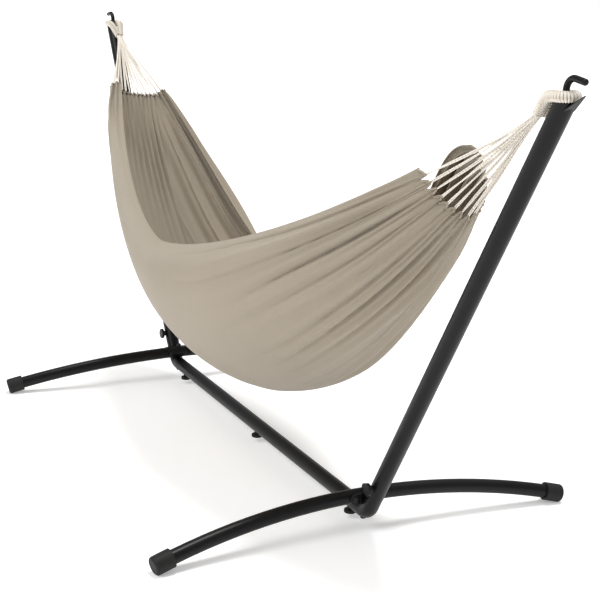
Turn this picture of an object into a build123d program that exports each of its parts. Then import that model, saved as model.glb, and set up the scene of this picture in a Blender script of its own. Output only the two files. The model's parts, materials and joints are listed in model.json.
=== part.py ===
from build123d import *
import os
from math import atan, cos, degrees, hypot, pi, radians, sin, sqrt, tan

# A hammock on its steel stand. X runs from hook to hook, Y across, Z up, with the floor at Z = 0 and the
# origin on the floor under the middle of the base beam. All sizes are in millimetres. The right-hand (+X)
# pieces are drawn, and the left-hand ones are their mirror images.

# ---- Driving dimensions: the stand ----
leg_d = 38.0                # cross leg tube
leg_wall = 1.5
leg_x = 693.0               # crown of the leg's arch, from the middle of the stand
leg_crown_z = 96.1          # height of the tube's axis at the crown
leg_half_span = 600.0       # from the middle of the leg to the end of its foot cap
sole_t = 2.2                # rubber under the tube at the end of the foot cap
leg_lean_x = 47.3           # how far the feet stand outside the crown
cap_wall = 6.0              # rubber foot cap, around the tube
cap_length = 52.0
cap_grip = 40.0             # length of leg tube inside the cap
cap_round = 7.0

beam_d = 42.0               # base beam tube
beam_wall = 1.5
beam_end_gap = 37.0         # from the crown of the leg's arch back to the elbow's shoulder, where the beam ends
seam_x = 32.0               # where the two beam sections meet
seam_overlap = 92.0         # length of the right section's stub inside the left one

elbow_step = 0.5            # radial, from the wider of the two tubes in to the corner tube
elbow_stub_wall = 2.75      # wall of the elbow where its narrower stub is swaged
elbow_bend_extra = 6.5      # how much wider the bend's axis is than the gap between the leg's and the elbow's axes
elbow_gap = 1.0             # between the elbow and the leg that it carries
stub_wall = 2.0
stub_clearance = 0.25       # radial, inside the sleeve it plugs into
stub_length = 96.0

arm_d = 44.0                # upper arm tube
arm_wall = 1.5
arm_lean = 31.8             # degrees from upright
arm_start = 22.0            # along the arm's axis, from the height of the leg's crown to the arm's lower rim
arm_top_z = 1187.0          # the arm's top is cut level
lid_t = 3.0

hook_bar_d = 14.0
hook_rise = 52.0            # from the lid to the corner of the bar's axis
hook_reach = 62.0
hook_droop = 9.0
hook_bend_r = 24.0
lip_length = 108.0          # from the arm's axis to the tip
lip_root_w = 26.0
lip_tip_w = 4.0
lip_t = 4.0
lip_rise = 35.7             # degrees
lip_root_drop = 45.0        # from the lid's top down to where the lip's line meets the arm's axis

plate_t = 4.0               # wing plate between the elbow and the leg
plate_bolt_gap = 16.5       # from the elbow's side to the bolt's axis
plate_end_r = 14.0
fit_gap = 0.3               # between pieces that lie against a curved face

bolt_d = 8.0
bolt_hole_d = 8.6
dome_d = 17.0
dome_h = 4.5
nut_af = 13.0
nut_h = 6.5
nut_dome_h = 4.0

knob_inset = 36.0           # from the beam's end to the screw that locks it to the elbow
arm_knob_s = 57.0           # along the arm's axis, from the height of the leg's crown
mid_knob_x = 0.0
knob_d = 34.0
knob_h = 9.0
knob_neck_d = 17.0
knob_neck_h = 8.0
knob_flutes = 9
flute_d = 7.0
knob_round = 1.6
stud_d = 8.0
stud_seat = 6.0             # length of stud moulded into the knob
stud_tip = 8.5              # from the tube's axis to the end of the stud
stud_running_gap = 0.05
stud_hole_gap = 0.6
weld_nut_af = 13.0
weld_nut_h = 6.0

# ---- Driving dimensions: the hammock ----
rope_d = 24.0               # cord-wrapped eye
eye_gap = 0.5
neck_back = 75.08           # from the hook bar in to the neck, where the strings leave the eye on the swing axis
neck_drop = 27.0            # from the top of the arm's lid
neck_half_y = 5.0
eye_shoulder = 32.0         # from the hook bar to where the eye's sides turn down
eye_shoulder_r = 26.0
swing_gap = 0.3
bundle_length = 45.0
bundle_flare = 6.0          # how much thicker than the eye the bundle is where it opens

string_d = 3.5
string_count = 16

string_run = 287.5          # along X, from the neck to the gathered end of the bed
cloth_t = 4.0               # smooth front panel
pleat_t = 13.4              # back panel, where the spare width lies in pleats
bed_spans = 16
side_points = 8
bed_floor_mid_drop, bed_floor_power = 959.3, 1.94      # drops are from the swing axis
bed_floor_end_drop = {1: 267.2, -1: 195.9}
front_rim_mid_drop, front_rim_end_drop, front_rim_power = 506.0, 153.0, 1.54
front_rim_mid_y, front_rim_end_y, front_width_power = -314.0, -90.0, 1.45
back_rim_mid_drop, back_rim_power = 723.0, 2.3
back_rim_end_drop = {1: 107.6, -1: 178.0}
back_rim_lift = {1: 142.7, -1: 0.0}     # most that the strings hold the back rim up on its way to the gathered end
back_rim_lift_from, back_rim_lift_power = 0.5, 1.42
back_rim_mid_y, back_width_power = 203.3, {1: 1.28, -1: 4.0}
back_rim_end_y = {1: 34.3, -1: 70.0}
keel_mid_y, keel_end_y = 2.0, {1: 31.5, -1: 35.8}
front_belly_mid, front_belly_end = 108.9, {1: 3.5, -1: 69.5}   # how far the cloth swells beyond a straight side
back_belly_mid, back_belly_end = 66.5, {1: 42.2, -1: 0.0}
belly_power = 4.0
side_power = 1.6            # 1 is a half ellipse, more is a sharper keel

# ---- Worked-out places ----
leg_r = leg_d / 2
beam_r = beam_d / 2
arm_r = arm_d / 2
elbow_r = max(beam_r, arm_r) - elbow_step
beam_bore_r = beam_r - beam_wall
arm_bore_r = arm_r - arm_wall
beam_stub_r = beam_bore_r - stub_clearance
arm_stub_r = arm_bore_r - stub_clearance
elbow_bore_r = min(beam_stub_r, arm_stub_r) - elbow_stub_wall
cap_r = leg_r + cap_wall
bolt_r = bolt_d / 2
stud_r = stud_d / 2
rope_r = rope_d / 2

leg_end_z = leg_r + sole_t
beam_end_x = leg_x - beam_end_gap
knob_x = beam_end_x - knob_inset
plate_bolt_y = elbow_r + plate_bolt_gap

lean = radians(arm_lean)
up_arm = Vector(sin(lean), 0, cos(lean))
axis_gap = leg_r + elbow_r + elbow_gap          # leg axis to elbow axis, all the way round the leg
elbow_bend_r = axis_gap + elbow_bend_extra
beam_z = leg_crown_z - axis_gap
arm_foot = Vector(leg_x + axis_gap / cos(lean), 0, leg_crown_z)
corner = Vector(arm_foot.X - axis_gap * tan(lean), 0, beam_z)
lid_top_z = arm_top_z + lid_t


def on_arm(distance):
    """A point on the arm's axis, measured from the height of the leg's crown."""
    return arm_foot + up_arm * distance


def arm_at_height(z):
    """The point of the arm's axis at one height."""
    return on_arm((z - arm_foot.Z) / cos(lean))


def round_bar(name, plane, radius, length, bore=0.0):
    """Adds a round bar or tube that starts on a plane."""
    with name:
        with BuildSketch(plane):
            Circle(radius)
            if bore:
                Circle(bore, mode=Mode.SUBTRACT)
        extrude(amount=length)


def keep_between(part, low, high):
    """The part of a solid between two parallel planes."""
    with BuildPart() as kept:
        add(part)
        split(bisect_by=low, keep=Keep.TOP)
        split(bisect_by=high, keep=Keep.BOTTOM)
    return kept.part


# ---- Cross leg: one arched tube that leans inwards as it rises ----
crown = Vector(leg_x, 0, leg_crown_z)
front_end = Vector(leg_x + leg_lean_x, -leg_half_span, leg_end_z)
back_end = Vector(leg_x + leg_lean_x, leg_half_span, leg_end_z)
leg_rise = hypot(leg_lean_x, leg_crown_z - leg_end_z)
leg_arc_r = (leg_half_span ** 2 + leg_rise ** 2) / (2 * leg_rise)
with BuildLine() as leg_path:
    ThreePointArc(front_end, crown, back_end)
leg_arc = leg_path.edge()
cap_share = cap_length / leg_arc.length
grip_share = (cap_length - cap_grip) / leg_arc.length


def leg_stretch(start, end):
    """The part of the leg's arc between two shares of its length."""
    with BuildLine() as stretch:
        ThreePointArc(leg_arc @ start, leg_arc @ ((start + end) / 2), leg_arc @ end)
    return stretch.edge()


def across(path):
    """The plane square to a path's start, turned so that the swept seam lies clear of the drilled holes."""
    return Plane(origin=path @ 0, x_dir=(1, 0.3, 1), z_dir=path % 0)


tube_stretch = leg_stretch(grip_share, 1 - grip_share)
with BuildPart() as leg_right:
    for radius, mode in ((leg_r, Mode.ADD), (leg_r - leg_wall, Mode.SUBTRACT)):
        with BuildSketch(across(tube_stretch)):
            Circle(radius)
        sweep(path=tube_stretch, mode=mode)
    with BuildSketch(Plane(origin=(leg_x, 0, leg_crown_z - leg_d), z_dir=(0, 0, 1))):
        Circle(bolt_hole_d / 2)
    extrude(amount=2 * leg_d, mode=Mode.SUBTRACT)
    for side in (-1, 1):
        with BuildSketch(Plane(origin=(leg_x - leg_d, side * plate_bolt_y, leg_crown_z), z_dir=(1, 0, 0))):
            Circle(bolt_hole_d / 2)
        extrude(amount=2 * leg_d, mode=Mode.SUBTRACT)


def foot_cap(start, end):
    """A rubber boot: a rounded cup over the tube's end, with a flat sole on the floor."""
    stretch = leg_stretch(start, end)
    with BuildPart() as cap:
        with BuildSketch(across(stretch)):
            Circle(cap_r)
        sweep(path=stretch)
        fillet(cap.edges().filter_by(GeomType.CIRCLE).sort_by(Axis.Y)[0 if stretch.center().Y < 0 else -1],
               radius=cap_round)
        with BuildSketch(across(tube_stretch)):
            Circle(leg_r)
        sweep(path=tube_stretch, mode=Mode.SUBTRACT)
        split(bisect_by=Plane.XY, keep=Keep.TOP)
    return cap.part


caps_right = {"front": foot_cap(0, cap_share), "back": foot_cap(1 - cap_share, 1)}

# ---- Elbow: a bent tube under and outside the leg, with a swaged stub at each end ----
stub_start = Vector(beam_end_x - stub_length, 0, beam_z)
shoulder = Vector(beam_end_x, 0, beam_z)
arm_rim = on_arm(arm_start)
stub_end = on_arm(arm_start + stub_length)
beam_knob = Vector(knob_x, 0, beam_z)
arm_knob = on_arm(arm_knob_s)
stud_hole_r = stud_r + stud_hole_gap


def bent_tube(start, end, radius):
    """A solid bent bar round the stand's lower corner."""
    with BuildPart() as bar:
        with BuildLine() as path:
            FilletPolyline(start, corner, end, radius=elbow_bend_r)
        with BuildSketch(across(path.wire())):
            Circle(radius)
        sweep(path=path.wire())
    return bar.part


elbow_outside = bent_tube(shoulder, arm_rim, elbow_r)
with BuildPart() as elbow_right:
    add(elbow_outside)
    with BuildSketch(Plane(origin=stub_start, z_dir=(1, 0, 0))):
        Circle(beam_stub_r)
    extrude(amount=stub_length)
    with BuildSketch(Plane(origin=arm_rim, z_dir=up_arm)):
        Circle(arm_stub_r)
    extrude(amount=stub_length)
    add(bent_tube(stub_start, stub_end, elbow_bore_r), mode=Mode.SUBTRACT)
    with BuildSketch(Plane(origin=(leg_x, 0, beam_z - 2 * elbow_r), z_dir=(0, 0, 1))):
        Circle(bolt_hole_d / 2)
    extrude(amount=4 * elbow_r, mode=Mode.SUBTRACT)
    with BuildSketch(Plane(origin=beam_knob, z_dir=(0, 0, -1))):
        Circle(stud_hole_r)
    extrude(amount=beam_d, mode=Mode.SUBTRACT)
    with BuildSketch(Plane(origin=arm_knob, z_dir=(0, -1, 0))):
        Circle(stud_hole_r)
    extrude(amount=arm_d, mode=Mode.SUBTRACT)

# ---- Wing plate: welded across the elbow, bolted to the leg's outer face ----
plate_half_y = plate_bolt_y + plate_end_r
leg_side_bow = plate_half_y ** 2 / (2 * leg_arc_r) * leg_lean_x / leg_rise
plate_x = leg_x + leg_r + leg_side_bow + fit_gap
with BuildPart() as plate_right:
    with BuildSketch(Plane(origin=(plate_x, 0, leg_crown_z), x_dir=(0, 1, 0), z_dir=(1, 0, 0))):
        SlotCenterToCenter(2 * plate_bolt_y, 2 * plate_end_r)
        with Locations((plate_bolt_y, 0), (-plate_bolt_y, 0)):
            Circle(bolt_hole_d / 2, mode=Mode.SUBTRACT)
    extrude(amount=plate_t)
    add(bent_tube(shoulder, arm_rim, elbow_r + fit_gap / 3), mode=Mode.SUBTRACT)


def last_rim(part, plane):
    """The round edge that lies furthest out along a plane's direction."""
    rims = part.edges().filter_by(GeomType.CIRCLE)
    return rims.sort_by(lambda edge: (edge.arc_center - plane.origin).dot(plane.z_dir))[-1]


def dome_bolt(head_plane, shank_length):
    """A dome-headed bolt. The plane lies under the head and looks away from the shank."""
    with BuildPart() as bolt:
        with BuildSketch(head_plane):
            Circle(dome_d / 2)
        extrude(amount=dome_h)
        fillet(last_rim(bolt, head_plane), radius=0.8 * dome_h)
        with BuildSketch(head_plane):
            Circle(bolt_r)
        extrude(amount=-shank_length)
    return bolt.part


def cap_nut(seat_plane):
    """A hexagon nut with a domed, closed end. The plane is its seat and looks along the bolt's end."""
    nut_r = nut_af / 2
    with BuildPart() as nut:
        with BuildSketch(seat_plane):
            RegularPolygon(nut_r, 6, major_radius=False)
        extrude(amount=nut_h)
        with BuildSketch(seat_plane.offset(nut_h)):
            Circle(nut_r)
        extrude(amount=nut_dome_h)
        fillet(last_rim(nut, seat_plane), radius=0.85 * nut_dome_h)
        with BuildSketch(seat_plane):
            Circle(bolt_r)
        extrude(amount=nut_h, mode=Mode.SUBTRACT)
    return nut.part


bolt_seat_x = plate_x + plate_t
nut_seat_x = leg_x - leg_r - fit_gap
plate_shank = bolt_seat_x - nut_seat_x + nut_h
with BuildPart() as plate_bolts_right:
    for side in (-1, 1):
        add(dome_bolt(Plane(origin=(bolt_seat_x, side * plate_bolt_y, leg_crown_z), z_dir=(1, 0, 0)), plate_shank))
with BuildPart() as plate_nuts_right:
    for side in (-1, 1):
        add(cap_nut(Plane(origin=(nut_seat_x, side * plate_bolt_y, leg_crown_z), z_dir=(-1, 0, 0))))

centre_nut_z = leg_crown_z + leg_r
centre_head_z = beam_z - elbow_r
centre_shank = centre_nut_z - centre_head_z + nut_h
centre_bolt_right = dome_bolt(Plane(origin=(leg_x, 0, centre_head_z), z_dir=(0, 0, -1)), centre_shank)
centre_nut_right = cap_nut(Plane(origin=(leg_x, 0, centre_nut_z), z_dir=(0, 0, 1)))

# ---- Base beam: two sections, the right one with a swaged end inside the left one ----
with BuildPart() as beam_right:
    with BuildSketch(Plane.YZ.offset(seam_x)):
        with Locations((0, beam_z)):
            Circle(beam_r)
            Circle(beam_bore_r, mode=Mode.SUBTRACT)
    extrude(amount=beam_end_x - seam_x)
    with BuildSketch(Plane.YZ.offset(seam_x - seam_overlap)):
        with Locations((0, beam_z)):
            Circle(beam_stub_r)
            Circle(beam_stub_r - stub_wall, mode=Mode.SUBTRACT)
    extrude(amount=seam_overlap + stub_wall)
    with BuildSketch(Plane.YZ.offset(seam_x)):
        with Locations((0, beam_z)):
            Circle(beam_bore_r)
            Circle(beam_stub_r - stub_wall, mode=Mode.SUBTRACT)
    extrude(amount=stub_wall)
    for x in (knob_x, mid_knob_x):
        with BuildSketch(Plane(origin=(x, 0, beam_z), z_dir=(0, 0, -1))):
            Circle(stud_hole_r)
        extrude(amount=beam_d, mode=Mode.SUBTRACT)

with BuildPart() as beam_left:
    with BuildSketch(Plane.YZ.offset(-beam_end_x)):
        with Locations((0, beam_z)):
            Circle(beam_r)
            Circle(beam_bore_r, mode=Mode.SUBTRACT)
    extrude(amount=beam_end_x + seam_x)
    for x in (-knob_x, mid_knob_x):
        with BuildSketch(Plane(origin=(x, 0, beam_z), z_dir=(0, 0, -1))):
            Circle(stud_hole_r)
        extrude(amount=beam_d, mode=Mode.SUBTRACT)

# ---- Upper arm: a leaning tube with a level top, closed by a lid ----
arm_reach = (arm_top_z - arm_rim.Z) / cos(lean) + arm_d
with BuildPart() as arm_right:
    with BuildSketch(Plane(origin=arm_rim, z_dir=up_arm)):
        Circle(arm_r)
        Circle(arm_bore_r, mode=Mode.SUBTRACT)
    extrude(amount=arm_reach)
    split(bisect_by=Plane.XY.offset(arm_top_z), keep=Keep.BOTTOM)
    with BuildSketch(Plane(origin=arm_knob, z_dir=(0, -1, 0))):
        Circle(stud_hole_r)
    extrude(amount=arm_d, mode=Mode.SUBTRACT)

with BuildPart() as arm_bar:
    with BuildSketch(Plane(origin=on_arm(arm_reach - 4 * arm_d), z_dir=up_arm)):
        Circle(arm_r)
    extrude(amount=5 * arm_d)
arm_lid_right = keep_between(arm_bar.part, Plane.XY.offset(arm_top_z), Plane.XY.offset(lid_top_z))

# ---- Hook: an upright round bar that turns outwards, and a pointed tongue below it ----
hook_x = arm_at_height(lid_top_z).X
hook_bar_r = hook_bar_d / 2
hook_tip = Vector(hook_x + hook_reach, 0, lid_top_z + hook_rise - hook_droop)
with BuildPart() as hook_bar_right:
    with BuildLine() as hook_path:
        FilletPolyline((hook_x, 0, lid_top_z), (hook_x, 0, lid_top_z + hook_rise), hook_tip, radius=hook_bend_r)
    with BuildSketch(across(hook_path.wire())):
        Circle(hook_bar_r)
    sweep(path=hook_path.wire())
    fillet(hook_bar_right.edges().filter_by(GeomType.CIRCLE).sort_by(Axis.X)[-1], radius=0.9 * hook_bar_r)

lip_angle = radians(lip_rise)
lip_root = arm_at_height(lid_top_z - lip_root_drop)
lip_run = lip_length * cos(lip_angle)
with BuildPart() as hook_lip_right:
    with BuildSketch(Plane(origin=(lip_root.X, 0, lip_root.Z), x_dir=(cos(lip_angle), 0, sin(lip_angle)),
                           z_dir=(0, -1, 0))):
        with BuildLine():
            Polyline((0, 0), (lip_length, 0), (lip_length, lip_t / 4), (0, lip_t), close=True)
        make_face()
    extrude(amount=lip_root_w / 2, both=True)
    with BuildSketch(Plane.XY.offset(lip_root.Z - arm_d)):
        with BuildLine():
            Polyline((lip_root.X, -lip_root_w / 2), (lip_root.X + lip_run / 2, -lip_root_w / 2),
                     (lip_root.X + lip_run, -lip_tip_w / 2), (lip_root.X + lip_run, lip_tip_w / 2),
                     (lip_root.X + lip_run / 2, lip_root_w / 2), (lip_root.X, lip_root_w / 2), close=True)
        make_face()
    extrude(amount=3 * arm_d, mode=Mode.INTERSECT)
    add(arm_bar.part, mode=Mode.SUBTRACT)

# ---- Hand screws: a fluted knob, its stud, and the nut welded inside the inner tube ----


def knob_head(seat):
    """A fluted knob whose neck faces the tube. The seat plane touches the tube and looks outwards."""
    with BuildPart() as head:
        with BuildSketch(seat.offset(fit_gap)):
            Circle(knob_neck_d / 2)
        extrude(amount=knob_neck_h)
        with BuildSketch(seat.offset(fit_gap + knob_neck_h)):
            Circle(knob_d / 2)
        extrude(amount=knob_h)
        rims = head.edges().filter_by(GeomType.CIRCLE).filter_by(lambda edge: edge.radius > 0.49 * knob_d)
        fillet(rims, radius=knob_round)
        with BuildSketch(seat.offset(fit_gap + knob_neck_h)):
            with PolarLocations(knob_d / 2 + flute_d / 4, knob_flutes):
                Circle(flute_d / 2)
        extrude(amount=knob_h, mode=Mode.SUBTRACT)
        with BuildSketch(seat.offset(fit_gap)):
            Circle(stud_r)
        extrude(amount=knob_neck_h + stud_seat, mode=Mode.SUBTRACT)
    return head.part


def knob_stud(seat, tube_r):
    """The stud runs from inside the knob, through both tube walls, to just short of the tube's axis."""
    with BuildPart() as stud:
        with BuildSketch(seat.offset(stud_tip - tube_r)):
            Circle(stud_r)
        extrude(amount=tube_r - stud_tip + fit_gap + knob_neck_h + stud_seat)
    return stud.part


def weld_nut(seat, tube_r, bore_r, along):
    """A square nut against the inside of the inner tube's wall, shaped to the wall it is welded to."""
    with BuildPart() as nut:
        with BuildSketch(seat.offset(bore_r - weld_nut_h - tube_r)):
            Rectangle(weld_nut_af, weld_nut_af)
            Circle(stud_r + stud_running_gap, mode=Mode.SUBTRACT)
        extrude(amount=weld_nut_h)
        with BuildSketch(Plane(origin=seat.origin - seat.z_dir * tube_r - along * weld_nut_af, z_dir=along)):
            Circle(bore_r)
        extrude(amount=2 * weld_nut_af, mode=Mode.INTERSECT)
    return nut.part


along_x = Vector(1, 0, 0)
screws = {
    "beam_right": (Plane(origin=(knob_x, 0, beam_z - beam_r), z_dir=(0, 0, -1)), beam_r, elbow_bore_r, along_x),
    "arm_right": (Plane(origin=arm_knob + Vector(0, -arm_r, 0), z_dir=(0, -1, 0)), arm_r, elbow_bore_r, up_arm),
    "middle": (Plane(origin=(mid_knob_x, 0, beam_z - beam_r), z_dir=(0, 0, -1)), beam_r,
               beam_stub_r - stub_wall, along_x),
}

# ---- Hammock: rope eyes, string bundles, strings and bed ----
bar_side = hook_bar_r + rope_r + eye_gap
eye_z = lid_top_z + rope_r + eye_gap
eye_shoulder_x = hook_x - eye_shoulder
bight_x = hook_x + bar_side
run_out = rope_d             # the eye is drawn past the neck, then cut square at it
neck_x = hook_x - neck_back
neck_z = lid_top_z - neck_drop
bed_half_length = neck_x - string_run


def eye_side(side):
    """One side of the rope eye, from the middle of the bight round the hook bar to the neck."""
    shoulder_at = Vector(eye_shoulder_x, side * bar_side, eye_z)
    neck_at = Vector(neck_x, side * neck_half_y, neck_z)
    past_neck = neck_at + (neck_at - shoulder_at).normalized() * run_out
    with BuildPart() as half:
        with BuildLine() as path:
            FilletPolyline((bight_x, 0, eye_z), (bight_x, side * bar_side, eye_z), shoulder_at, past_neck,
                           radius=(0.98 * bar_side, eye_shoulder_r))
        with BuildSketch(across(path.wire())):
            Circle(rope_r)
        sweep(path=path.wire())
        split(bisect_by=Plane.YZ.offset(neck_x), keep=Keep.TOP)
    return half.part


with BuildPart() as eye_right:
    add(eye_side(1))
    add(eye_side(-1))


def along_bed(mid, end, power, share):
    """A size that grows from the bed's middle to its end."""
    return mid + (end - mid) * share ** power


def bed_line(x):
    """The cloth's line across the bed at one place, from the front rim over the keel to the back rim.
    Each point comes with the cloth's thickness there."""
    share = min(abs(x) / bed_half_length, 1.0)
    end = 1 if x > 0 else -1
    floor_z = neck_z - along_bed(bed_floor_mid_drop, bed_floor_end_drop[end], bed_floor_power, share)
    keel_y = along_bed(keel_mid_y, keel_end_y[end], 2, share)
    front_y = along_bed(front_rim_mid_y, front_rim_end_y, front_width_power, share)
    front_z = neck_z - along_bed(front_rim_mid_drop, front_rim_end_drop, front_rim_power, share)
    back_y = along_bed(back_rim_mid_y, back_rim_end_y[end], back_width_power[end], share)
    back_z = neck_z - along_bed(back_rim_mid_drop, back_rim_end_drop[end], back_rim_power, share)
    flap = max(share - back_rim_lift_from, 0.0) / (1 - back_rim_lift_from)
    back_z += back_rim_lift[end] * sin(pi * flap ** back_rim_lift_power)
    front_swell = -along_bed(front_belly_mid, front_belly_end[end], belly_power, share)
    back_swell = along_bed(back_belly_mid, back_belly_end[end], belly_power, share)
    line = []
    for step in range(-side_points, side_points + 1):
        turn = abs(step) / side_points * pi / 2
        out = sin(turn) ** side_power
        down = cos(turn) ** side_power if abs(step) < side_points else 0.0
        rim_y, rim_z = (front_y, front_z) if step < 0 else (back_y, back_z)
        swell = front_swell if step < 0 else back_swell
        thick = cloth_t if step < 0 else cloth_t + (pleat_t - cloth_t) * sin(turn)
        y = keel_y + (rim_y - keel_y) * out + swell * sin(2 * turn)
        line.append((y, rim_z - (rim_z - floor_z) * down, thick))
    return line


def bed_outline(x):
    """The closed outline of the cloth at one place: its line, given thickness to both sides."""
    line = bed_line(x)
    outer, inner = [], []
    for i, (y, z, thick) in enumerate(line):
        before, after = line[max(i - 1, 0)], line[min(i + 1, len(line) - 1)]
        run_y, run_z = after[0] - before[0], after[1] - before[1]
        scale = thick / 2 / hypot(run_y, run_z)
        outer.append((y + run_z * scale, z - run_y * scale))
        inner.append((y - run_z * scale, z + run_y * scale))
    return outer + inner[::-1]


with BuildPart() as bed:
    for i in range(bed_spans + 1):
        x = bed_half_length * (2 * i / bed_spans - 1)
        with BuildSketch(Plane.YZ.offset(x)):
            with BuildLine():
                Polyline(*bed_outline(x), close=True)
            make_face()
    loft(ruled=True)

bundle_start_x = neck_x - swing_gap
bundle_end_x = neck_x - bundle_length
bundle_end_r = rope_r + bundle_flare / 2


def end_of_bed(side):
    """Evenly spaced points along the cloth's gathered end, one for each string."""
    line = bed_line(side * bed_half_length)
    lengths = [0.0]
    for (y0, z0, _), (y1, z1, _) in zip(line, line[1:]):
        lengths.append(lengths[-1] + hypot(y1 - y0, z1 - z0))
    points = []
    for n in range(string_count):
        want = lengths[-1] * (n + 0.5) / string_count
        i = max(k for k in range(len(lengths) - 1) if lengths[k] <= want)
        share = (want - lengths[i]) / (lengths[i + 1] - lengths[i])
        y = line[i][0] + share * (line[i + 1][0] - line[i][0])
        z = line[i][1] + share * (line[i + 1][1] - line[i][1])
        points.append(Vector(side * bed_half_length, y, z))
    return points


def middle_of(points):
    """The middle of a list of points."""
    total = Vector(0, 0, 0)
    for point in points:
        total += point
    return total * (1 / len(points))


def bundle_centre(side, x):
    """The middle of the fan of strings at one place between the neck and the cloth."""
    cloth = middle_of(end_of_bed(side))
    share = (neck_x - x) / (neck_x - bed_half_length)
    return Vector(side * x, cloth.Y * share, neck_z + (cloth.Z - neck_z) * share)


def string_bundle(side):
    """The strings drawn together beside the eye, as one short cone."""
    with BuildPart() as bundle:
        for x, radius in ((bundle_start_x, rope_r), (bundle_end_x, bundle_end_r)):
            centre = bundle_centre(side, x)
            with BuildSketch(Plane.YZ.offset(side * x)):
                with Locations((centre.Y, centre.Z)):
                    Circle(radius)
        loft()
    return bundle.part


def string_fan(side):
    """Straight strings from the bundle's end to the cloth, as separate round bars."""
    ends = end_of_bed(side)
    cloth = middle_of(ends)
    start = bundle_centre(side, bundle_end_x)
    spread = max((point - cloth).length for point in ends)
    shrink = (bundle_end_r - string_d) / spread
    low, high = sorted((side * bed_half_length, side * bundle_end_x))
    with BuildPart() as fan:
        for end in ends:
            begin = start + (end - cloth) * shrink
            run = (end - begin).normalized()
            with BuildSketch(Plane(origin=begin - run * string_d * 2, z_dir=run)):
                Circle(string_d / 2)
            extrude(amount=(end - begin).length + string_d * 4)
        split(bisect_by=Plane.YZ.offset(low), keep=Keep.TOP)
        split(bisect_by=Plane.YZ.offset(high), keep=Keep.BOTTOM)
    return fan.part


# ---- Labels and files ----
right_hand = {
    "leg": leg_right.part,
    "elbow": elbow_right.part,
    "mount_plate": plate_right.part,
    "plate_bolts": plate_bolts_right.part,
    "plate_nuts": plate_nuts_right.part,
    "centre_bolt": centre_bolt_right,
    "centre_nut": centre_nut_right,
    "arm": arm_right.part,
    "arm_lid": arm_lid_right,
    "hook_bar": hook_bar_right.part,
    "hook_lip": hook_lip_right.part,
    "eye_loop": eye_right.part,
}
for place in ("beam", "arm"):
    seat, tube_r, bore_r, along = screws[place + "_right"]
    right_hand["knob_" + place] = knob_head(seat)
    right_hand["knob_stud_" + place] = knob_stud(seat, tube_r)
    right_hand["weld_nut_" + place] = weld_nut(seat, tube_r, bore_r, along)

pieces = {}
for name, part in right_hand.items():
    pieces[name + "_right"] = part
    pieces[name + "_left"] = part.mirror(Plane.YZ)
for near, far in (("front", "back"), ("back", "front")):
    pieces["foot_cap_" + near + "_right"] = caps_right[near]
    pieces["foot_cap_" + near + "_left"] = caps_right[far].rotate(Axis.Z, 180)
seat, tube_r, bore_r, along = screws["middle"]
pieces["knob_middle"] = knob_head(seat)
pieces["knob_stud_middle"] = knob_stud(seat, tube_r)
pieces["weld_nut_middle"] = weld_nut(seat, tube_r, bore_r, along)
pieces["beam_right"] = beam_right.part
pieces["beam_left"] = beam_left.part
pieces["bed"] = bed.part
for name, side in (("right", 1), ("left", -1)):
    pieces["string_bundle_" + name] = string_bundle(side)
    pieces["strings_" + name] = string_fan(side)

os.makedirs("parts", exist_ok=True)
for name, part in pieces.items():
    part.label = name
    export_step(part, "parts/" + name + ".step")
print(len(pieces), "pieces")
print("swing axis height", neck_z, "arm foot", arm_foot.X, "corner", corner.X, "hook", hook_x)
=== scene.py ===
# %% [markdown]
# # A cloth hammock on a steel stand
# This lesson dresses a finished model of a hammock stand. The steel frame, its bolts and its screws come
# in from the design and stay where they are. What is soft is made here: the cloth, its strings and the
# wrapped rope eyes. Everything is in metres. X runs from hook to hook, Y across, and Z up from the floor.

import json
from math import cos, pi, radians, sin

import bmesh
import bpy
from mathutils import Matrix, Quaternion, Vector, noise

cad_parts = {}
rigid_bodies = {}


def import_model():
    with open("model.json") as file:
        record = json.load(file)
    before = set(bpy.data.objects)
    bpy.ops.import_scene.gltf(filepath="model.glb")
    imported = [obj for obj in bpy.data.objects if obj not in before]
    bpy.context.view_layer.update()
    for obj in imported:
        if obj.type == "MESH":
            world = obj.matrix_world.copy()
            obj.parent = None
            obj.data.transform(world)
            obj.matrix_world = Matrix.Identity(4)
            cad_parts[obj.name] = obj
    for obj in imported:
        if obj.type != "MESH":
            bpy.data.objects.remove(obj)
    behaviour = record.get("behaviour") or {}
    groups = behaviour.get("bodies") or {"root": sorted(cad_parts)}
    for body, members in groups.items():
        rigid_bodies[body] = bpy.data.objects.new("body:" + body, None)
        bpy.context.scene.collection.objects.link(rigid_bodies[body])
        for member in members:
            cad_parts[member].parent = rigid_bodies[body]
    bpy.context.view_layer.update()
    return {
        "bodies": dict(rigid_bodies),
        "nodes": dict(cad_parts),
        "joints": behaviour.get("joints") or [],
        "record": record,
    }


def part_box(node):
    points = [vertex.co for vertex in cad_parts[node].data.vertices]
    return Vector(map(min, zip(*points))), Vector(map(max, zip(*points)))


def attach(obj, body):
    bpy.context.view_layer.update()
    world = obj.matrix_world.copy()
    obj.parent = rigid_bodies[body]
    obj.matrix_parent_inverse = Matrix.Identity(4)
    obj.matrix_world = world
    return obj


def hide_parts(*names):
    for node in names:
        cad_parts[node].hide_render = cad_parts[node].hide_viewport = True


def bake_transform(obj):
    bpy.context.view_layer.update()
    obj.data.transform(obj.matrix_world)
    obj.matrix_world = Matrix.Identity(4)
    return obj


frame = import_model()
nodes = frame["nodes"]

# %% [markdown]
# ## The camera
# A product picture is taken from a standing person's chest height, with a long lens, so that the near arm
# isn't much larger than the far one. The camera is placed by where it stands and two angles, and it leans
# over a little.

# %% Camera
camera_place = Vector((3.4594, -1.5493, 1.4302))
camera_azimuth, camera_elevation, camera_roll = radians(64.033), radians(14.416), radians(1.515)
lens_mm, sensor_mm = 77.78, 36.0

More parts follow.
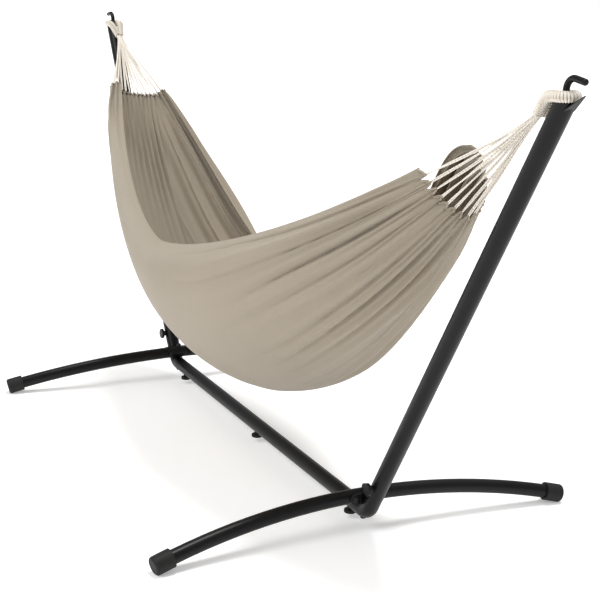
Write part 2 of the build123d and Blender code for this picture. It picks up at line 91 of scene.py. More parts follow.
look = -Vector((sin(camera_azimuth) * cos(camera_elevation), -cos(camera_azimuth) * cos(camera_elevation),
                sin(camera_elevation)))
camera = bpy.data.objects.new("camera", bpy.data.cameras.new("camera"))
camera.data.lens, camera.data.sensor_width = lens_mm, sensor_mm
camera.data.clip_start, camera.data.clip_end = 0.05, 100.0
camera.location = camera_place
camera.rotation_mode = "QUATERNION"
camera.rotation_quaternion = look.to_track_quat("-Z", "Y") @ Quaternion((0, 0, 1), camera_roll)
bpy.context.scene.collection.objects.link(camera)
bpy.context.scene.camera = camera
bpy.context.scene.view_settings.view_transform = "Standard"
print("the camera stands", round(camera_place.length, 2), "m from the middle of the stand")

# %% [markdown]
# ## Nodes as arithmetic
# A material is a small sum: a weave height is one wave times another. Wiring Math nodes by hand hides
# that, so one class wraps a node's output and lets Python's own operators add the nodes. Its method
# `node` adds any other kind.


# %% A class that writes node trees as sums
class Shade:
    """One output in a material's node tree."""

    def __init__(self, tree, output=None):
        self.tree, self.output = tree, output

    def node(self, kind, settings=None, values=None, out=0):
        """Adds a node, with its settings first and then its sockets' values or links."""
        made = self.tree.nodes.new("ShaderNode" + kind)
        for name, value in (settings or {}).items():
            setattr(made, name, value)
        for name, value in (values or {}).items():
            if isinstance(value, Shade):
                self.tree.links.new(value.output, made.inputs[name])
            else:
                made.inputs[name].default_value = value
        return Shade(self.tree, made.outputs[out])

    def math(self, operation, *others):
        """One Math node, with this output first."""
        return self.node("Math", {"operation": operation}, dict(enumerate((self, *others))))

    def __add__(self, other):
        return self.math("ADD", other)

    def __sub__(self, other):
        return self.math("SUBTRACT", other)

    def __rsub__(self, other):
        return self.math("MULTIPLY_ADD", -1.0, other)

    def __mul__(self, other):
        return self.math("MULTIPLY", other)

    def __truediv__(self, other):
        return self.math("DIVIDE", other)

    def __rtruediv__(self, other):
        return self.node("Math", {"operation": "DIVIDE"}, {0: other, 1: self})

    __radd__, __rmul__ = __add__, __mul__


# %% [markdown]
# Most finishes here are a Principled shader whose colour, roughness and bump change over the surface.
# `new_material` makes one: what is the same all over is set on the shader's sockets, and what changes is
# linked.


# %% Start a material
def new_material(name, fixed):
    """A material with a Principled shader. Gives it, the start of its tree, and its shader's sockets."""
    material = bpy.data.materials.new(name)
    material.use_nodes = True
    shader = material.node_tree.nodes["Principled BSDF"]
    for socket, value in fixed.items():
        shader.inputs[socket].default_value = value
    return material, Shade(material.node_tree), shader.inputs


def link(start, value, socket):
    """Joins an expression to a socket of the shader."""
    start.tree.links.new(value.output, socket)


def grain(start, place, scale, detail=2.0, roughness=0.5):
    """Smooth noise from 0 to 1 at one place."""
    return start.node("TexNoise", {"noise_dimensions": "3D"},
                      {"Vector": place, "Scale": scale, "Detail": detail, "Roughness": roughness})


def mixed(start, factor, low, high):
    """One colour where the factor is 0 and another where it is 1."""
    return start.node("Mix", {"data_type": "RGBA"}, {0: factor, 6: low, 7: high}, out=2)


def bump(start, height, distance, strength=1.0):
    """A normal from a height between 0 and 1, with the height's real size in metres."""
    return start.node("Bump", {}, {"Height": height, "Distance": distance, "Strength": strength})


def stretch(start, place, scale):
    """Coordinates multiplied by a size along each axis."""
    return start.node("VectorMath", {"operation": "MULTIPLY"}, {0: place, 1: scale})


def flat_place(start):
    """A piece's own UV map, which is in metres, and its two numbers."""
    place = start.node("UVMap", {"uv_map": "flat"})
    first = start.node("SeparateXYZ", {}, {0: place})
    return place, first, Shade(start.tree, first.output.node.outputs[1])


# %% [markdown]
# ## Powder-coated steel
# Powder coat is baked paint. It is black with a satin sheen, and its skin has a fine orange peel that a
# close look shows as soft dimples. Dust and handling leave it a little rougher in patches. Noise on the
# object's own coordinates gives both, and bump carries the dimples, because they are a tenth of a
# millimetre deep.


# %% Powder coat
handled_scale, handled_wear = 9.0, 0.14


def make_painted(name, colour, worn, rough, peel_size, peel_depth):
    """Satin paint: a dark colour with a slightly paler bloom, and an orange-peel skin."""
    material, start, shader = new_material(name, {"IOR": 1.5, "Specular IOR Level": 0.2})
    place = start.node("TexCoord", out=3)
    handled = grain(start, place, handled_scale, detail=4.0)
    peel = grain(start, place, 1.0 / peel_size, detail=1.0)
    link(start, mixed(start, handled, colour, worn), shader["Base Color"])
    link(start, rough + (handled - 0.5) * handled_wear, shader["Roughness"])
    link(start, bump(start, peel, peel_depth), shader["Normal"])
    return material


powder_coat = make_painted("satin_powder_coat", (0.003, 0.003, 0.0032, 1), (0.006, 0.006, 0.0064, 1),
                           rough=0.36, peel_size=0.0016, peel_depth=0.00004)
black_oxide = make_painted("bolt_black", (0.006, 0.006, 0.007, 1), (0.014, 0.014, 0.015, 1),
                           rough=0.30, peel_size=0.0009, peel_depth=0.00002)
print("painted finishes:", powder_coat.name, black_oxide.name)

# %% [markdown]
# ## Rubber and moulded plastic
# The foot caps are black rubber, dull and finely pitted, with dust in the pits. The knobs are moulded
# plastic, which is a little smoother than rubber and has the fine spark texture of its mould.


# %% Rubber and plastic
dust_scale, dust_amount, dust_wear = 25.0, 1.6, 0.2


def make_moulded(name, colour, dusty, rough, pit_size, pit_depth):
    """A dull moulded surface with fine pits that hold a little dust."""
    material, start, shader = new_material(name, {"Specular IOR Level": 0.25, "IOR": 1.5})
    place = start.node("TexCoord", out=3)
    pits = grain(start, place, 1.0 / pit_size, detail=3.0, roughness=0.6)
    patches = grain(start, place, dust_scale, detail=3.0)
    link(start, mixed(start, pits * patches * dust_amount, colour, dusty), shader["Base Color"])
    link(start, rough + (patches - 0.5) * dust_wear, shader["Roughness"])
    link(start, bump(start, pits, pit_depth), shader["Normal"])
    return material


foot_rubber = make_moulded("cap_rubber", (0.006, 0.006, 0.006, 1), (0.020, 0.020, 0.019, 1),
                           rough=0.62, pit_size=0.0012, pit_depth=0.00012)
knob_plastic = make_moulded("screw_plastic", (0.005, 0.005, 0.005, 1), (0.013, 0.013, 0.013, 1),
                            rough=0.48, pit_size=0.0007, pit_depth=0.00005)
print("moulded finishes:", foot_rubber.name, knob_plastic.name)

# %% [markdown]
# ## Zinc plate
# The studs and the nuts inside the tubes are zinc plated. Plating is bright but cloudy, so a metal takes
# its roughness from noise.

# %% Zinc plate
zinc_plate, start, shader = new_material("zinc_plate", {"Metallic": 1.0})
crystals = 220.0
cloudy = grain(start, start.node("TexCoord", out=3), crystals, detail=3.0)
link(start, mixed(start, cloudy, (0.42, 0.43, 0.45, 1), (0.66, 0.66, 0.67, 1)), shader["Base Color"])
link(start, 0.28 + cloudy * 0.2, shader["Roughness"])
print("plated finish:", zinc_plate.name)

# %% [markdown]
# ## Canvas
# The cloth is a plain weave of cotton and polyester: one thread over, one thread under, both ways. The
# threads are uneven, so the cloth looks slightly streaked along both of its directions, and it is a warm
# grey. The pattern has to follow the folds, so it reads the cloth's own UV map, which is laid out in
# metres of flat cloth.

# %% Canvas
thread_pitch, thread_height = 0.0011, 0.0005
streak_long, streak_fine, cloud_scale = 26.0, 900.0, 5.0
stitch_pitch, stitch_half_width, stitch_gap = 0.0045, 0.0007, 0.3
hem_width = 0.016
flat_width, flat_length = 1.35, 2.40

canvas, start, shader = new_material("canvas", {"Sheen Weight": 0.25, "Sheen Roughness": 0.5,
                                                "Specular IOR Level": 0.2})
cloth_uv, along, across = flat_place(start)
warp = (along * (pi / thread_pitch)).math("SINE")
weft = (across * (pi / thread_pitch)).math("SINE")
weave = warp * weft * 0.5 + 0.5
streaks_along = grain(start, stretch(start, cloth_uv, (streak_long, streak_fine, 1.0)), 1.0, detail=2.0)
streaks_across = grain(start, stretch(start, cloth_uv, (streak_fine, streak_long, 1.0)), 1.0, detail=2.0)
clouds = grain(start, cloth_uv, cloud_scale, detail=4.0)
uneven = (streaks_along + streaks_across) * 0.5
from_edge = flat_width / 2 - (across - flat_width / 2).math("ABSOLUTE")
seam = from_edge.math("COMPARE", hem_width, stitch_half_width)
stitches = seam * (along / stitch_pitch).math("PINGPONG", 1.0).math("GREATER_THAN", stitch_gap)
light_yarn, dark_yarn = (0.400, 0.344, 0.268, 1), (0.290, 0.246, 0.186, 1)
shaded_yarn, sewing_thread = (0.245, 0.205, 0.150, 1), (0.62, 0.57, 0.47, 1)
cloth_colour = mixed(start, uneven * 0.75 + weave * 0.25, dark_yarn, light_yarn)
cloth_colour = mixed(start, (clouds - 0.4) * 0.35, cloth_colour, shaded_yarn)
cloth_colour = mixed(start, stitches * 0.5, cloth_colour, sewing_thread)
link(start, cloth_colour, shader["Base Color"])
link(start, 0.86 + uneven * 0.1, shader["Roughness"])
link(start, bump(start, weave * 0.6 + uneven * 0.6 - stitches * 0.5, thread_height), shader["Normal"])
print("the weave has", round(0.01 / thread_pitch, 1), "threads to the centimetre")

# %% [markdown]
# ## Cotton cord
# The strings are natural cotton, twisted from three strands, so the light picks out a slanted groove
# round each one. The UV map of a string runs round it and along it, in metres, and one wave across both
# makes the twist. That wave also goes into the colour, as painted shade in the grooves and a painted
# highlight on the strands.


# %% Cotton cord
strands, strand_height, fibre_scale = 3, 0.0003, (14.0, 900.0, 1.0)


def make_cord_finish(name, lay, light, dark):
    """Twisted cotton: the strands run round the cord once for each length of lay."""
    material, start, shader = new_material(name, {"Sheen Weight": 0.3, "Sheen Roughness": 0.5,
                                                  "Specular IOR Level": 0.2})
    cord_uv, around, along = flat_place(start)
    twist = (around * strands + along / lay) * pi
    strand = twist.math("SINE").math("ABSOLUTE")
    fibres = grain(start, stretch(start, cord_uv, fibre_scale), 1.0, detail=3.0)
    shade = grain(start, cord_uv, 30.0, detail=2.0)
    # Painted shade and highlight: the twist wave darkens the grooves and lightens the strands; the fibre and
    # patch noises are the cotton's own uneven tone.
    painted_groove_shade_and_tone = strand * 0.7 + fibres * 0.3 + (shade - 0.5) * 0.4
    link(start, mixed(start, painted_groove_shade_and_tone, dark, light), shader["Base Color"])
    link(start, 0.85 + fibres * 0.1, shader["Roughness"])
    link(start, bump(start, strand * 0.8 + fibres * 0.2, strand_height), shader["Normal"])
    return material


string_cotton = make_cord_finish("string_cotton", 0.010, (0.84, 0.79, 0.71, 1), (0.66, 0.60, 0.51, 1))
wrap_cotton = make_cord_finish("wrap_cotton", 0.014, (0.78, 0.73, 0.65, 1), (0.55, 0.49, 0.41, 1))
# The core is the same cotton as the cord, but its colours are much darker: painted shade for the gaps between
# the wrap turns.
core_painted_shade = make_cord_finish("core_painted_shade", 0.014, (0.42, 0.37, 0.30, 1), (0.30, 0.26, 0.20, 1))
print("cord finishes:", string_cotton.name, wrap_cotton.name, core_painted_shade.name)

# %% [markdown]
# ## Finishes on the frame
# Each piece of the frame already has its shape. It only needs its finish, and the start of its name says
# which.

# %% Give the frame its finishes
finish_by_name = {
    "leg": powder_coat, "elbow": powder_coat, "mount_plate": powder_coat, "arm": powder_coat,
    "hook": powder_coat, "beam": powder_coat, "plate_": black_oxide, "centre_": black_oxide,
    "knob_stud": zinc_plate, "weld_nut": zinc_plate, "knob": knob_plastic, "foot_cap": foot_rubber,
    "bed": canvas, "string": string_cotton, "eye_loop": wrap_cotton,
}
for node_name, node in nodes.items():
    start_of_name = next(begin for begin in sorted(finish_by_name, key=len, reverse=True)
                         if node_name.startswith(begin))
    for material_slot in node.material_slots:
        material_slot.material = finish_by_name[start_of_name]
print(len(nodes), "nodes have their finish")

# %% [markdown]
# ## Tubes along a line
# Strings, hems and wrapping cord are all a round section drawn along a line. A curve with a bevel could
# do it, but it has no UV map in metres. So one ring is made where the line starts, and its edges are
# extruded from point to point, each time turned to face along the line. The ring keeps its own numbering,
# which gives the UV map.


# %% A tube along a line
def lengths_along(points):
    """The length along a line from its start to each of its points."""
    lengths = [0.0]
    for here, there in zip(points, points[1:]):
        lengths.append(lengths[-1] + (there - here).length)
    return lengths


def frames_along(points):
    """A matrix for each point of a line that turns a flat ring to face along it, with no sudden twist."""
    last, side, frames = len(points) - 1, None, []
    for i in range(last + 1):
        heading = (points[min(i + 1, last)] - points[max(i - 1, 0)]).normalized()
        side = heading.orthogonal() if side is None else side - heading * side.dot(heading)
        side.normalize()
        turn = Matrix((side, heading.cross(side), heading)).transposed().to_4x4()
        frames.append(Matrix.Translation(points[i]) @ turn)
    return frames


def add_tube(mesh, flat_map, points, radius, sides=8):
    """Adds a round tube to a bmesh. Its UV map has turns round the tube and metres along it."""
    frames, lengths = frames_along(points), lengths_along(points)
    ring = bmesh.ops.create_circle(mesh, segments=sides, radius=radius, cap_ends=True,
                                   matrix=frames[0])["verts"]
    number = {vert: k for k, vert in enumerate(ring)}
    distance = {vert: 0.0 for vert in ring}
    for before, after, length in zip(frames, frames[1:], lengths[1:]):
        edges = [edge for edge in {edge for vert in ring for edge in vert.link_edges}
                 if edge.verts[0] in ring and edge.verts[1] in ring]
        made = bmesh.ops.extrude_edge_only(mesh, edges=edges)["geom"]
        new_ring = [item for item in made if isinstance(item, bmesh.types.BMVert)]
        for vert in new_ring:
            old = next(edge.other_vert(vert) for edge in vert.link_edges if edge.other_vert(vert) in number)
            number[vert], distance[vert] = number[old], length
        bmesh.ops.transform(mesh, matrix=after @ before.inverted(), verts=new_ring)
        for face in (item for item in made if isinstance(item, bmesh.types.BMFace)):
            face.smooth = True
            seam = {number[vert] for vert in face.verts} == {0, sides - 1}
            for loop in face.loops:
                turn = sides if seam and number[loop.vert] == 0 else number[loop.vert]
                loop[flat_map].uv = (turn / sides, distance[loop.vert])
        ring = new_ring
    bmesh.ops.contextual_create(mesh, geom=ring)
    return lengths[-1]


def finish_piece(name, mesh, material, body=None):
    """Turns a bmesh into a piece of the hammock or the stand, with one material."""
    data = bpy.data.meshes.new(name)
    mesh.to_mesh(data)
    mesh.free()
    piece = bpy.data.objects.new(name, data)
    data.materials.append(material)
    bpy.context.scene.collection.objects.link(piece)
    if body:
        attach(piece, body)
    return piece


def tubes_piece(name, lines, radius, material, sides=8, body=None):
    """One piece of several tubes."""
    mesh = bmesh.new()
    flat_map = mesh.loops.layers.uv.new("flat")
    total = sum(add_tube(mesh, flat_map, line, radius, sides) for line in lines)
    bmesh.ops.recalc_face_normals(mesh, faces=mesh.faces[:])
    print(name, "has", len(lines), "tubes,", round(total, 2), "m in all")
    return finish_piece(name, mesh, material, body)


# %% [markdown]
# ## The shape of the hanging cloth
# A sheet hung from two gathered ends has a front rim, a keel and a back rim, which are three hanging
# lines. Between them the cloth swells outwards. Each line is worked out from its place in the middle and
# at the ends, and one power says how soon it rises. These are the sizes of the closed cloth solid in the
# design, so the sheet hangs where that solid is.

# %% The lines of the bed
bed_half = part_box("bed")[1].x
floor_mid_z, floor_power, floor_end_z = 0.2037, 1.94, {1: 0.8958, -1: 0.9671}
front_mid_z, front_end_z, front_power = 0.657, 1.010, 1.54
front_mid_y, front_end_y, front_width_power = -0.314, -0.090, 1.45
back_mid_z, back_power, back_end_z = 0.440, 2.3, {1: 1.0554, -1: 0.985}
back_lift, back_lift_from, back_lift_power = {1: 0.1427, -1: 0.0}, 0.5, 1.42
back_mid_y, back_end_y, back_width_power = 0.2033, {1: 0.0343, -1: 0.070}, {1: 1.28, -1: 4.0}
keel_mid_y, keel_end_y, keel_power = 0.002, {1: 0.0315, -1: 0.0358}, 2
front_belly, front_end_belly = 0.1089, {1: 0.0035, -1: 0.0695}
back_belly, back_end_belly, belly_power = 0.0665, {1: 0.0422, -1: 0.0}, 4
side_power = 1.6


def hang(mid, end, power, share):
    """A size that grows from the middle of the bed to its end."""
    return mid + (end - mid) * share ** power


def cloth_at(x, side):
    """A place on the smooth cloth. Side is -1 at the front rim, 0 at the keel and 1 at the back rim."""
    share, end = min(abs(x) / bed_half, 1.0), 1 if x > 0 else -1
    keel_y = hang(keel_mid_y, keel_end_y[end], keel_power, share)
    keel_z = hang(floor_mid_z, floor_end_z[end], floor_power, share)
    if side < 0:
        rim_y = hang(front_mid_y, front_end_y, front_width_power, share)
        rim_z = hang(front_mid_z, front_end_z, front_power, share)
        swell = -hang(front_belly, front_end_belly[end], belly_power, share)
    else:
        rim_y = hang(back_mid_y, back_end_y[end], back_width_power[end], share)
        lifted = max(share - back_lift_from, 0.0) / (1 - back_lift_from)
        lift = back_lift[end] * sin(pi * lifted ** back_lift_power)
        rim_z = hang(back_mid_z, back_end_z[end], back_power, share) + lift
        swell = hang(back_belly, back_end_belly[end], belly_power, share)
    turn = min(abs(side), 1.0) * pi / 2
    out, down = sin(turn) ** side_power, max(cos(turn), 0.0) ** side_power
    y = keel_y + (rim_y - keel_y) * out + swell * sin(2 * turn)
    return Vector((x, y, rim_z - (rim_z - keel_z) * down))


print("the keel is", round(floor_mid_z, 3), "m and the front rim", round(front_mid_z, 3), "m above the floor")

# %% [markdown]
# ## Where the strings hold the cloth
# Sixteen pairs of strings hold each end, evenly spaced along the gathered edge. Between two pairs the
# cloth has more width than it has room, so it stands up in a fold, and the folds run from pair to pair
# the whole length of the bed. A point's place across the cloth is therefore counted in folds, and each
# whole number is a pair of strings.

# %% Count the cloth's width in folds
string_pairs = 16
edge_steps, halvings = 240, 30


def edge_lengths(x):
    """The length along the cloth's line from the front rim to each of its steps."""
    return lengths_along([cloth_at(x, 2 * i / edge_steps - 1) for i in range(edge_steps + 1)])


end_lengths = {end: edge_lengths(end * bed_half) for end in (1, -1)}


def share_across(end, side):
    """How far along the gathered end's line a place across the cloth is, from 0 to 1."""
    step = (side + 1) / 2 * edge_steps
    whole = min(int(step), edge_steps - 1)
    lengths = end_lengths[end]
    return (lengths[whole] + (step - whole) * (lengths[whole + 1] - lengths[whole])) / lengths[-1]


def side_of_share(end, share):
    """The place across the cloth for a share of the gathered end's line."""
    low, high = -1.0, 1.0
    for _ in range(halvings):
        middle = (low + high) / 2
        low, high = (middle, high) if share_across(end, middle) < share else (low, middle)
    return (low + high) / 2


def folds_across(x, side):
    """The place across the cloth in folds, from 0 at the front rim to the number of pairs at the back rim."""
    toward_right = (x / bed_half + 1) / 2
    left, right = share_across(-1, side), share_across(1, side)
    return string_pairs * (left * (1 - toward_right) + right * toward_right)


print("the gathered ends are", [round(end_lengths[end][-1], 3) for end in (1, -1)], "m long")

# %% [markdown]
# ## Folds
# A fold is a round bulge between two sharp creases. It is deepest at the gathered end and runs out
# towards the middle, some soon and some late. The front panel is pulled smooth across the middle, and the
# back panel keeps its folds all the way, because the spare width lies there. `steady` gives each fold its
# own reach and depth from its number, so the same cloth hangs each time.


# %% Depth of the folds
def steady(number, kind):
    """A value from 0 to 1 that depends only on a whole number and on what it is for."""
    value = sin(number * 12.9898 + kind * 78.233) * 43758.5453
    return value - int(value) if value > 0 else value - int(value) + 1


def between_folds(folds, kind):
    """The steady values of two neighbouring folds, blended smoothly."""
    whole = int(folds // 1)
    part = folds - whole
    ease = part * part * (3 - 2 * part)
    return steady(whole, kind) * (1 - ease) + steady(whole + 1, kind) * ease


def ramp_up(value, low, high):
    """0 below low, 1 above high and smooth between."""
    part = min(max((value - low) / (high - low), 0.0), 1.0)
    return part * part * (3 - 2 * part)


fold_depth = 0.036
crease_power = 0.6
near_strings, held_back = 0.86, 0.55
ripple, swell_depth = 0.24, 0.006


def fold_height(x, side):
    """How far the cloth stands out from its smooth shape."""
    right = 1 if x > 0 else 0
    folds = folds_across(x, side)
    share = min(abs(x) / bed_half, 1.0)
    back = ramp_up(side, -0.25, 0.35)
    drift = noise.noise(Vector((x * 2.1, folds * 0.35, 7.0))) * 0.55 * (1 - share ** 3)
    place = folds - 0.5 + drift
    reach = (0.0 if right else 0.35 * (1 - back)) + 0.5 * between_folds(place, 1 + right)
    depth = 0.55 + 0.75 * between_folds(place, 3 + right)
    held = 1 - held_back * ramp_up(share, near_strings, 1.0)
    gather = ramp_up(share, reach, 1.0) * fold_depth * depth * held
    spare = 0.35 + 0.65 * ramp_up(share, 0.05, 0.5)
    slack = back * fold_depth * spare * (0.6 + 0.8 * between_folds(place, 5))
    bulge = abs(sin(pi * place)) ** crease_power - 0.6
    fine = sin(2 * pi * (place * 2.0 + 0.3 * between_folds(place, 6))) * ripple
    soft = noise.noise(Vector((x * 1.6, folds * 0.22, 3.0))) * swell_depth * (1 - share)
    edge = ramp_up(1 - abs(side), 0.0, 0.10)
    return (max(gather, slack * held) * (bulge + fine * share) + soft) * (0.15 + 0.85 * edge)


heights = [round(fold_height(0.8 * bed_half, i / 100 - 1) * 1000) for i in range(201)]
print("near the strings the folds run from", min(heights), "to", max(heights), "mm")

# %% [markdown]
# ## Cutting and hanging the sheet
# The sheet starts as a flat grid, and each of its points is moved to its place on the hanging cloth. The
# grid's own places become the UV map, in metres of flat cloth. The gathered edge isn't straight: each
# pair of strings pulls it out into a point, and it falls back between them.

# %% Hang the sheet
steps_along, steps_across = 168, 268
cloth_thickness = 0.0012
scallop, hem_scatter = 0.012, 0.010
pull_near_end = 6


def edge_place(end, side):
    """How far the cloth reaches past its design length at one place of a gathered end."""
    folds = string_pairs * share_across(end, side) - 0.5
    pulled = abs(cos(pi * folds)) ** 1.5
    return scallop * (pulled - 0.75) - hem_scatter * steady(int(folds + 0.5), 8 + end) * (1 - pulled)


def hang_point(x, side):
    """A point of the sheet in its place: on the cloth's line, moved out by its fold."""
    small = 0.002
    end = 1 if x > 0 else -1
    along = x * (1 + edge_place(end, side) / bed_half * (abs(x) / bed_half) ** pull_near_end)
    here = cloth_at(x, side)
    run = cloth_at(x, min(side + small, 1.0)) - cloth_at(x, max(side - small, -1.0))
    outward = Vector((0, run.z, -run.y)).normalized()
    return Vector((along, here.y, here.z)) + outward * fold_height(x, side)


sheet_mesh = bmesh.new()
flat_map = sheet_mesh.loops.layers.uv.new("flat")
bmesh.ops.create_grid(sheet_mesh, x_segments=steps_along, y_segments=steps_across, size=1.0)
for face in sheet_mesh.faces:
    face.smooth = True
    for loop in face.loops:
        loop[flat_map].uv = ((loop.vert.co.x + 1) / 2 * flat_length, (loop.vert.co.y + 1) / 2 * flat_width)
for vert in sheet_mesh.verts:
    vert.co = hang_point(vert.co.x * bed_half, vert.co.y)
print("the sheet has", len(sheet_mesh.faces), "faces")
sheet_area = sum(face.calc_area() for face in sheet_mesh.faces)
print("it covers", round(sheet_area, 2), "square metres, cut from", round(flat_width * flat_length, 2))
cloth = finish_piece("cloth", sheet_mesh, canvas, "hammock")
thicken = cloth.modifiers.new("thickness", "SOLIDIFY")
thicken.thickness, thicken.offset = cloth_thickness, 0.0
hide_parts("bed")

# %% [markdown]
# ## Hems
# The two rims are folded over and sewn, and the gathered ends are corded. Both edges are thicker than the
# cloth, and they catch the light as a thin line. A thin tube along each edge of the sheet gives them that
# roundness.

# %% Hems
hem_radius, cord_hem_radius = 0.0019, 0.0026
rim_lines = [[hang_point(bed_half * (2 * i / steps_along - 1), side) for i in range(steps_along + 1)]
             for side in (-1, 1)]
gathered_lines = [[hang_point(end * bed_half, 2 * i / steps_across - 1) for i in range(steps_across + 1)]
                  for end in (1, -1)]
rim_hems = tubes_piece("rim_hems", rim_lines, hem_radius, canvas, 6, "hammock")
gathered_hems = tubes_piece("gathered_hems", gathered_lines, cord_hem_radius, canvas, 6, "hammock")

# %% [markdown]
# ## A smooth route
# A cord doesn't turn corners. A NURBS curve of order 3 stays near its control points and is smooth
# everywhere, so the strings and the eyes are drawn along one. Blender turns such a curve into points, and
# those are what a tube follows.


# %% Smooth routes
closest = 0.0002


def smooth_route(points, fineness=8):
    """Points along the smooth line that a few control points give."""
    data = bpy.data.curves.new("route", "CURVE")
    data.dimensions, data.resolution_u = "3D", fineness
    spline = data.splines.new("NURBS")
    spline.points.add(len(points) - 1)
    for control, point in zip(spline.points, points):
        control.co = (*point, 1.0)
    spline.order_u, spline.use_endpoint_u = 3, True
    carrier = bpy.data.objects.new("route", data)
    bpy.context.scene.collection.objects.link(carrier)
    line = bpy.data.meshes.new_from_object(carrier)
    route = [line.vertices[0].co.copy()]
    for vert in line.vertices:
        if (vert.co - route[-1]).length > closest:
            route.append(vert.co.copy())
    bpy.data.objects.remove(carrier)
    bpy.data.curves.remove(data)
    bpy.data.meshes.remove(line)
    return route


# %% [markdown]
# ## Strings
# Each pair of strings runs straight from its place on the gathered edge to the neck of the rope eye,
# because it carries the cloth. All thirty-two come together in a bundle as thick as the eye and disappear
# into it. The two strings of a pair lie side by side and turn round each other once or so on the way.

# %% Strings
string_radius = 0.0017
neck_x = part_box("eye_loop_right")[0].x
neck_z = next(joint["pos_m"][2] for joint in frame["joints"] if joint["name"] == "hammock_swing")
bundle_reach, bundle_radius, neck_radius, into_eye = 0.048, 0.0125, 0.0095, 0.030
fan_half, inner_layer, sewn_in, string_sag = 0.11, 0.62, 0.012, 0.004


def string_lines(end):
    """The routes of the strings at one end of the bed."""
    edges = [hang_point(end * bed_half, side_of_share(end, (n + 0.5) / string_pairs))
             for n in range(string_pairs)]
    middle = sum(edges, Vector()) / string_pairs
    neck = Vector((end * neck_x, 0.0, neck_z))
    gathered = neck + (middle - neck).normalized() * bundle_reach
    lines = []
    for n, edge in enumerate(edges):
        lean = (edge - middle) * Vector((0, 1, 1))
        lean = lean.normalized() * min(lean.length / fan_half, 1.0) * (1.0 if n % 2 else inner_layer)
        in_bundle = gathered + lean * bundle_radius
        in_neck = neck + lean * neck_radius
        in_eye = neck + Vector((end * into_eye, lean.y * 0.012, into_eye * 0.92 + lean.z * 0.004))
        inside = edge + (edge - in_bundle).normalized() * sewn_in
        aside, down = steady(n, 20 + end) - 0.5, 0.75 + steady(n, 22 + end)
        sag = Vector((0, string_sag * aside, -string_sag * down))
        halfway = (edge + in_bundle) / 2 + sag
        route = smooth_route([inside, edge, halfway, in_bundle, in_neck, in_eye])
        run = (in_bundle - edge).normalized()
        beside = run.cross(Vector((0, 0, 1))).normalized()
        above = run.cross(beside)
        first_turn, turns = 2 * pi * steady(n, 24 + end), 0.4 + 1.2 * steady(n, 26 + end)
        for twin in (0, 1):
            line = []
            for i, point in enumerate(route):
                angle = first_turn + pi * twin + 2 * pi * turns * i / (len(route) - 1)
                line.append(point + (beside * cos(angle) + above * sin(angle)) * string_radius * 1.02)
            lines.append(line)
    return lines


for end_name, end in (("right", 1), ("left", -1)):
    piece = tubes_piece("string_pairs_" + end_name, string_lines(end), string_radius, string_cotton, sides=7)
    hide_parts("strings_" + end_name, "string_bundle_" + end_name)
    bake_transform(piece)

# %% [markdown]
# ## Rope eyes
# The strings are doubled back over the hook and wrapped tightly in one thick cord, turn beside turn, so
# the eye looks ribbed. A plain core follows the eye's route round the hook bar, and the wrapping cord is
# a helix round that core. On a bend its turns are spaced by the outer side, because the core would show
# between them there. The core is coloured much darker than the cord, as painted shade in the gaps
# between the turns.

# %% Rope eyes
bar_box, lid_box, eye_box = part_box("hook_bar_right"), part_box("arm_lid_right"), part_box("eye_loop_right")
bar_radius = bar_box[1].y
hook_x, lid_top = bar_box[0].x + bar_radius, lid_box[1].z
rope_radius, eye_gap = 0.012, 0.0005
wrap_radius, wrap_pitch = 0.0030, 0.0070
core_radius = rope_radius - wrap_radius * 1.4
eye_beside = bar_radius + rope_radius + eye_gap
eye_z = lid_top + rope_radius + eye_gap
shoulder_x, neck_beside = hook_x - 0.032, 0.005


def eye_route(end):
    """The middle line of a rope eye, from the neck round the hook bar and back to the neck."""
    half = [(neck_x - 0.004, neck_beside, neck_z - 0.003),
            (neck_x + 0.010, neck_beside + 0.003, neck_z + 0.010),
            (shoulder_x - 0.006, eye_beside - 0.002, eye_z - 0.003),
            (hook_x - 0.010, eye_beside, eye_z)]
    corner = eye_beside / cos(radians(22.5))
    for angle in (radians(67.5), radians(22.5)):
        half.append((hook_x + corner * cos(angle), corner * sin(angle), eye_z))
    back = [(x, -y, z) for x, y, z in reversed(half)]
    return smooth_route([Vector((end * x, y, z)) for x, y, z in half + back], fineness=16)


def helix_round(route, radius, pitch, steps_per_turn=14):
    """Points of a helix round a line, with one turn for each pitch along the outer side of its bends."""
    frames = frames_along(route)
    headings = [frame.to_3x3().col[2] for frame in frames]
    lengths = [0.0]
    for i in range(1, len(route)):
        bend = radius * headings[i - 1].angle(headings[i])
        lengths.append(lengths[-1] + (route[i] - route[i - 1]).length + bend)
    count = int(lengths[-1] / pitch * steps_per_turn)
    points, k = [], 0
    for i in range(count + 1):
        want = lengths[-1] * i / count
        while k < len(route) - 2 and lengths[k + 1] < want:
            k += 1
        part = (want - lengths[k]) / (lengths[k + 1] - lengths[k])
        angle = 2 * pi * i / steps_per_turn
        ring = Vector((radius * cos(angle), radius * sin(angle), 0))
        points.append((frames[k] @ ring).lerp(frames[k + 1] @ ring, part))
    return points


for end_name, end in (("right", 1), ("left", -1)):
    route = eye_route(end)
    # The dark core shows between the wrap turns as painted shade.
    core = tubes_piece("eye_core_" + end_name, [route], core_radius, core_painted_shade, 12, "stand")
    turns = helix_round(route, rope_radius - wrap_radius, wrap_pitch)
    wrap = tubes_piece("eye_wrap_" + end_name, [turns], wrap_radius, wrap_cotton, 8, "stand")
    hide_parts("eye_loop_" + end_name)

# %% [markdown]
# ## Welds
# The hook's bar and the wing plates are welded on before the steel is painted. A weld bead is a low,
# uneven ridge in the corner between two pieces, so it is a thin tube whose line wavers a little.

# %% Weld beads
bead_radius, waver = 0.0016, 0.0005
ring_steps, upright_steps = 48, 12
plate_box, elbow_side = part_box("mount_plate_right"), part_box("elbow_right")[1].y


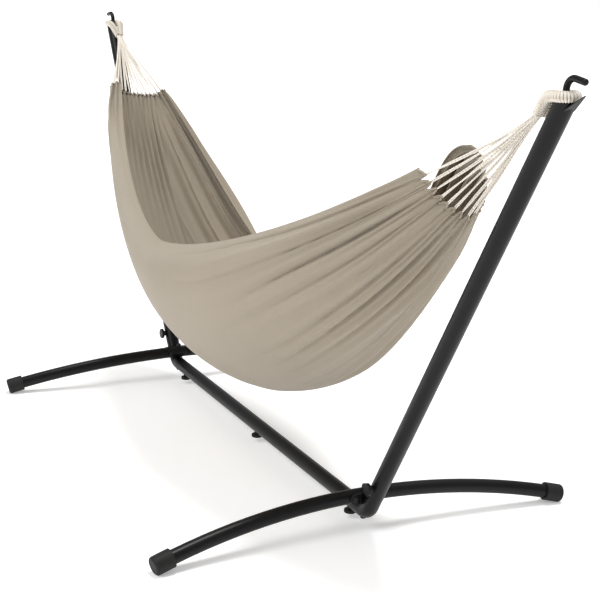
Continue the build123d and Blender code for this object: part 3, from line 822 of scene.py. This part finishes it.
def ring_bead(end):
    """The line of the weld round the foot of a hook bar."""
    turns = [2 * pi * i / ring_steps for i in range(ring_steps + 1)]
    return [Vector((end * hook_x + (bar_radius + waver * sin(7 * turn)) * cos(turn),
                    (bar_radius + waver * sin(9 * turn)) * sin(turn), lid_top)) for turn in turns]


def upright_bead(x, beside):
    """The line of a weld up one edge of a wing plate."""
    height = plate_box[1].z - plate_box[0].z
    return [Vector((x, beside * (elbow_side + waver * steady(i, 40 + beside)),
                    plate_box[0].z + height * i / upright_steps)) for i in range(upright_steps + 1)]


for end_name, end in (("right", 1), ("left", -1)):
    beads = [ring_bead(end)]
    beads += [upright_bead(end * face.x, beside) for face in plate_box for beside in (-1, 1)]
    weld = tubes_piece("welds_" + end_name, beads, bead_radius, powder_coat, 8, "stand")

# %% [markdown]
# ## The studio
# The hammock stands on white paper under a broad, soft light from above and a little behind, so its
# shadows fall towards the camera. A second soft light from the front opens up the dark side of the cloth.
# The camera sees the surroundings as plain white, and as light they are weaker, which keeps the folds'
# shading. The paper lies on a light table and glows a little, so only the shadows close to the tubes are
# seen.

# %% Studio
paper_half = 40.0
floor_mesh = bmesh.new()
bmesh.ops.create_grid(floor_mesh, x_segments=1, y_segments=1, size=paper_half)
white_paper, start, shader = new_material("white_paper", {
    "Roughness": 0.9, "Specular IOR Level": 0.1, "Emission Color": (1, 1, 1, 1), "Emission Strength": 0.28})
mottle = grain(start, start.node("TexCoord", out=3), 1.5)
link(start, mixed(start, mottle, (0.90, 0.90, 0.90, 1), (0.92, 0.92, 0.92, 1)), shader["Base Color"])
finish_piece("paper", floor_mesh, white_paper)

world = bpy.data.worlds.new("studio")
bpy.context.scene.world = world
world.use_nodes = True
surroundings = world.node_tree.nodes["Background"]
surroundings.inputs["Color"].default_value = (1, 1, 1, 1)
seen_strength, light_strength = 1.0, 0.52
sky = Shade(world.node_tree)
strength = sky.node("LightPath") * (seen_strength - light_strength) + light_strength
link(sky, strength, surroundings.inputs["Strength"])


def add_sun(name, toward, softness, power):
    """A distant light. Softness is the angle that it fills in the sky, in degrees."""
    lamp = bpy.data.lights.new(name, "SUN")
    lamp.angle, lamp.energy = radians(softness), power
    light = bpy.data.objects.new(name, lamp)
    light.rotation_mode = "QUATERNION"
    light.rotation_quaternion = Vector(toward).to_track_quat("-Z", "Y")
    bpy.context.scene.collection.objects.link(light)


add_sun("overhead", (0.08, -0.16, -1.0), 18, 1.8)
add_sun("front", (-0.12, 0.75, -0.70), 30, 1.3)
